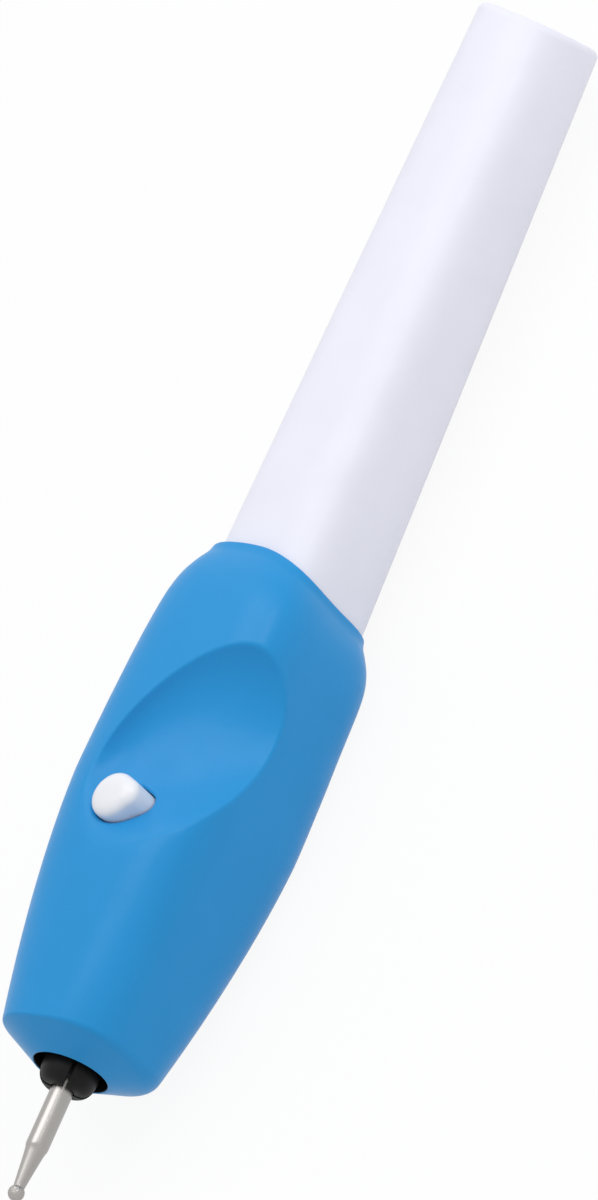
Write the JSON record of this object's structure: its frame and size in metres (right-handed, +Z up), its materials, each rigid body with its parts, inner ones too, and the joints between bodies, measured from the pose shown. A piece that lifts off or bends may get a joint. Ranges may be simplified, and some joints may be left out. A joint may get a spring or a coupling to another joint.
{
  "type": "electric engraving pen",
  "caption": "Battery engraving pen: blue moulded grip with thumb dish and push button, white pull-off battery sleeve, and a motor-driven chuck holding a ball burr.",
  "frame": {"origin": "centre of the bounding box, on the surface that the pen's flat belly lies on", "axes": "+X along the pen towards the burr, +Z up on the button side, +Y to the side that the thumb dish opens to"},
  "size_m": [0.1724, 0.0244, 0.025],
  "materials": {
    "blue_moulding": "satin moulded ABS",
    "white_moulding": "satin moulded ABS",
    "white_button": "smooth moulded acetal",
    "grey_moulding": "moulded ABS",
    "black_moulding": "moulded nylon",
    "black_chuck": "satin moulded acetal",
    "screw_steel": "zinc-plated, pressed cross recess",
    "cell_jacket": "plain unprinted shrink film",
    "nickel_strip": "nickel-plated strip",
    "spring_wire": "drawn wire, nickel plated",
    "motor_can_plate": "drawn and plated",
    "sintered_bronze": "sintered, oiled",
    "brass_terminal": "stamped",
    "rotor_steel": "laminated and coated",
    "blackened_steel": "turned and chemically blackened",
    "burr_steel": "centreless ground, ball head coated with grit",
    "board_laminate": "glass laminate with solder mask",
    "red_insulation": "extruded PVC",
    "black_insulation": "extruded PVC",
    "yellow_insulation": "extruded PVC"
  },
  "bodies": {
    "housing": {"grip_housing": "blue_moulding", "belly_cover": "blue_moulding", "cover_screw_left": "screw_steel", "cover_screw_right": "screw_steel", "battery_tray": "grey_moulding", "cell_rear": "cell_jacket", "cell_front": "cell_jacket", "front_contact": "nickel_strip", "return_strip": "nickel_strip", "contact_spring": "spring_wire", "motor_can": "motor_can_plate", "motor_bush": "sintered_bronze", "motor_end_cap": "black_moulding", "motor_terminal_left": "brass_terminal", "motor_terminal_right": "brass_terminal", "switch_body": "black_moulding", "switch_board": "board_laminate", "battery_lead": "red_insulation", "return_lead": "black_insulation", "switch_lead": "yellow_insulation"},
    "sleeve": {"battery_sleeve": "white_moulding"},
    "button": {"button_cap": "white_button"},
    "plunger": {"switch_plunger": "white_button"},
    "spindle": {"motor_rotor": "rotor_steel", "chuck_cap": "black_chuck", "chuck_sleeve": "blackened_steel"},
    "burr": {"engraving_burr": "burr_steel"}
  },
  "joints": [
    {"name": "sleeve_pull", "type": "slide", "parent": "housing", "child": "sleeve", "axis": [-1, 0, 0], "range_m": [0, 0.085]},
    {"name": "button_press", "type": "slide", "parent": "housing", "child": "button", "axis": [0, 0, -1], "range_m": [0, 0.0012], "stiffness_N_per_m": 800, "springref_m": -0.0008},
    {"name": "plunger_press", "type": "slide", "parent": "housing", "child": "plunger", "axis": [0, 0, -1], "range_m": [0, 0.0012]},
    {"name": "spindle_spin", "type": "hinge", "parent": "housing", "child": "spindle", "pos_m": [0.058, 0, 0.01185], "axis": [1, 0, 0], "continuous": true},
    {"name": "burr_pull", "type": "slide", "parent": "spindle", "child": "burr", "axis": [1, 0, 0], "range_m": [0, 0.0085]}
  ],
  "couplings": [
    {"joint": "plunger_press", "follows": "button_press", "ratio": 1}
  ]
}
